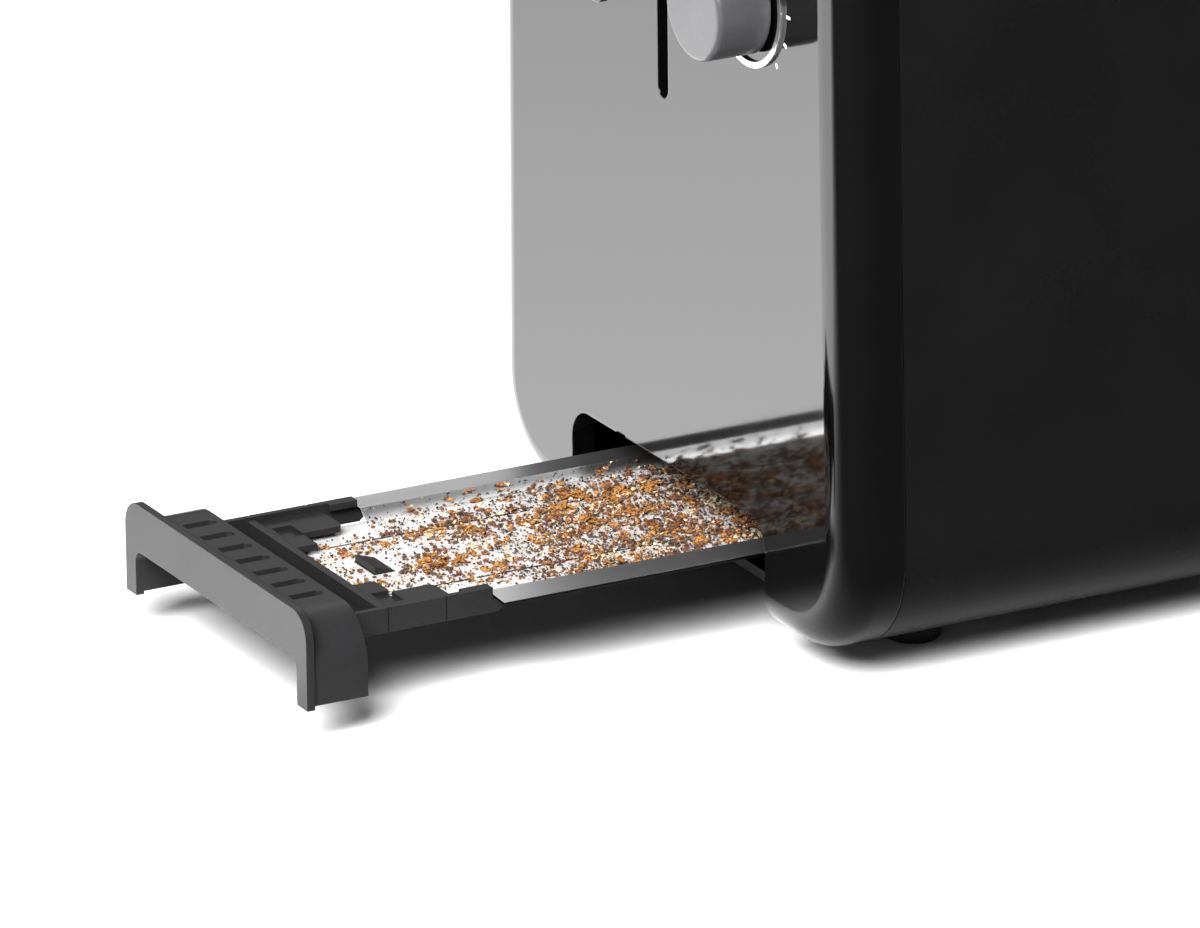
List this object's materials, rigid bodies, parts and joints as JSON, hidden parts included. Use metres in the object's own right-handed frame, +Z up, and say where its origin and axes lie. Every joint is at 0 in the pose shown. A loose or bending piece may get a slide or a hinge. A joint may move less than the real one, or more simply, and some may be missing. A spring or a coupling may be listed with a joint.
{
  "type": "pop up toaster",
  "caption": "Pop up toaster with bread slots, a sprung bread lift and a crumb tray that slides out of the lever end.",
  "frame": {"origin": "table surface, under the middle of the body between the four feet", "axes": "+X along the body from the lever end to the cord end, +Z up; the crumb tray pulls out towards -X"},
  "size_m": [0.4107, 0.1726, 0.1932],
  "materials": {
    "case_gloss": "gloss moulded black plastic",
    "case_satin": "satin gloss black plastic",
    "base_plastic": "matte dark plastic",
    "foot_rubber": "matte rubber",
    "trim_steel": "brushed stainless steel",
    "tray_steel": "bright aluminised sheet",
    "inner_steel": "galvanised sheet",
    "rod_steel": "polished rod",
    "wire_steel": "drawn wire",
    "spring_steel": "spring wire",
    "mica": "pale mica board",
    "resistance_wire": "nichrome ribbon",
    "tray_plastic": "fine grained dark grey plastic",
    "lever_plastic": "gloss black plastic",
    "control_plastic": "soft matte plastic",
    "pointer_white": "white inlay",
    "pcb": "printed circuit board",
    "switch_plastic": "black switch body",
    "coil_copper": "enamelled copper winding",
    "core_iron": "laminated iron",
    "screw_steel": "zinc plated"
  },
  "bodies": {
    "housing": {"front_end_cap": "case_gloss", "rear_end_cap": "case_gloss", "housing_sleeve": "case_satin", "slot_frame": "trim_steel", "base_plate": "base_plastic", "base_screws": "screw_steel", "foot_front_near": "foot_rubber", "foot_front_far": "foot_rubber", "foot_rear_near": "foot_rubber", "foot_rear_far": "foot_rubber", "front_inner_wall": "inner_steel", "rear_inner_wall": "inner_steel", "tray_rail_near": "inner_steel", "tray_rail_far": "inner_steel", "mica_board_near": "mica", "mica_board_middle": "mica", "mica_board_far": "mica", "heating_ribbon_near": "resistance_wire", "heating_ribbon_middle": "resistance_wire", "heating_ribbon_far": "resistance_wire", "reflector_near": "tray_steel", "reflector_far": "tray_steel", "guide_rod_near": "rod_steel", "guide_rod_far": "rod_steel", "rod_bracket_lower": "inner_steel", "rod_bracket_upper": "inner_steel", "electromagnet_core": "core_iron", "electromagnet_coil": "coil_copper", "return_spring": "spring_steel", "control_board": "pcb", "potentiometer_body": "switch_plastic", "dial_ring": "trim_steel", "button_bezel": "case_gloss", "button_switches": "switch_plastic", "cord_gland": "foot_rubber", "terminal_block": "switch_plastic"},
    "crumb_tray_set": {"tray_front": "tray_plastic", "tray_tongue": "tray_plastic", "tray_clip_near": "tray_plastic", "tray_clip_far": "tray_plastic", "crumb_tray": "tray_steel"},
    "bread_carriage": {"carriage_plate": "inner_steel", "bread_rack_near": "wire_steel", "bread_rack_far": "wire_steel", "lever_arm": "inner_steel", "lever_knob": "lever_plastic", "latch_armature": "core_iron"},
    "guide_near_outer": {"bread_guide_near_outer": "wire_steel"},
    "guide_near_inner": {"bread_guide_near_inner": "wire_steel"},
    "guide_far_outer": {"bread_guide_far_outer": "wire_steel"},
    "guide_far_inner": {"bread_guide_far_inner": "wire_steel"},
    "browning_dial": {"browning_knob": "control_plastic", "knob_pointer": "pointer_white", "potentiometer_shaft": "control_plastic"},
    "cancel_button": {"button_cancel": "control_plastic"},
    "reheat_button": {"button_reheat": "control_plastic"},
    "defrost_button": {"button_defrost": "control_plastic"}
  },
  "joints": [
    {"name": "crumb_tray_slide", "type": "slide", "parent": "housing", "child": "crumb_tray_set", "axis": [-1, 0, 0], "range_m": [-0.1187, 0.12]},
    {"name": "carriage_slide", "type": "slide", "parent": "housing", "child": "bread_carriage", "axis": [0, 0, 1], "range_m": [-0.044, 0], "stiffness_N_per_m": 80, "springref_m": 0.03, "deforming": ["return_spring"]},
    {"name": "guide_near_outer_slide", "type": "slide", "parent": "housing", "child": "guide_near_outer", "axis": [0, 1, 0], "range_m": [0, 0.006]},
    {"name": "guide_near_inner_slide", "type": "slide", "parent": "housing", "child": "guide_near_inner", "axis": [0, -1, 0], "range_m": [0, 0.006]},
    {"name": "guide_far_outer_slide", "type": "slide", "parent": "housing", "child": "guide_far_outer", "axis": [0, -1, 0], "range_m": [0, 0.006]},
    {"name": "guide_far_inner_slide", "type": "slide", "parent": "housing", "child": "guide_far_inner", "axis": [0, 1, 0], "range_m": [0, 0.006]},
    {"name": "browning_dial_turn", "type": "hinge", "parent": "housing", "child": "browning_dial", "pos_m": [-0.15, -0.042, 0.16], "axis": [-1, 0, 0], "range_deg": [-135, 135]},
    {"name": "cancel_press", "type": "slide", "parent": "housing", "child": "cancel_button", "axis": [1, 0, 0], "range_m": [0, 0.002], "stiffness_N_per_m": 400, "springref_m": -0.002},
    {"name": "reheat_press", "type": "slide", "parent": "housing", "child": "reheat_button", "axis": [1, 0, 0], "range_m": [0, 0.002], "stiffness_N_per_m": 400, "springref_m": -0.002},
    {"name": "defrost_press", "type": "slide", "parent": "housing", "child": "defrost_button", "axis": [1, 0, 0], "range_m": [0, 0.002], "stiffness_N_per_m": 400, "springref_m": -0.002}
  ],
  "couplings": [
    {"joint": "guide_near_outer_slide", "follows": "carriage_slide", "ratio": -0.136},
    {"joint": "guide_near_inner_slide", "follows": "carriage_slide", "ratio": -0.136},
    {"joint": "guide_far_outer_slide", "follows": "carriage_slide", "ratio": -0.136},
    {"joint": "guide_far_inner_slide", "follows": "carriage_slide", "ratio": -0.136}
  ]
}
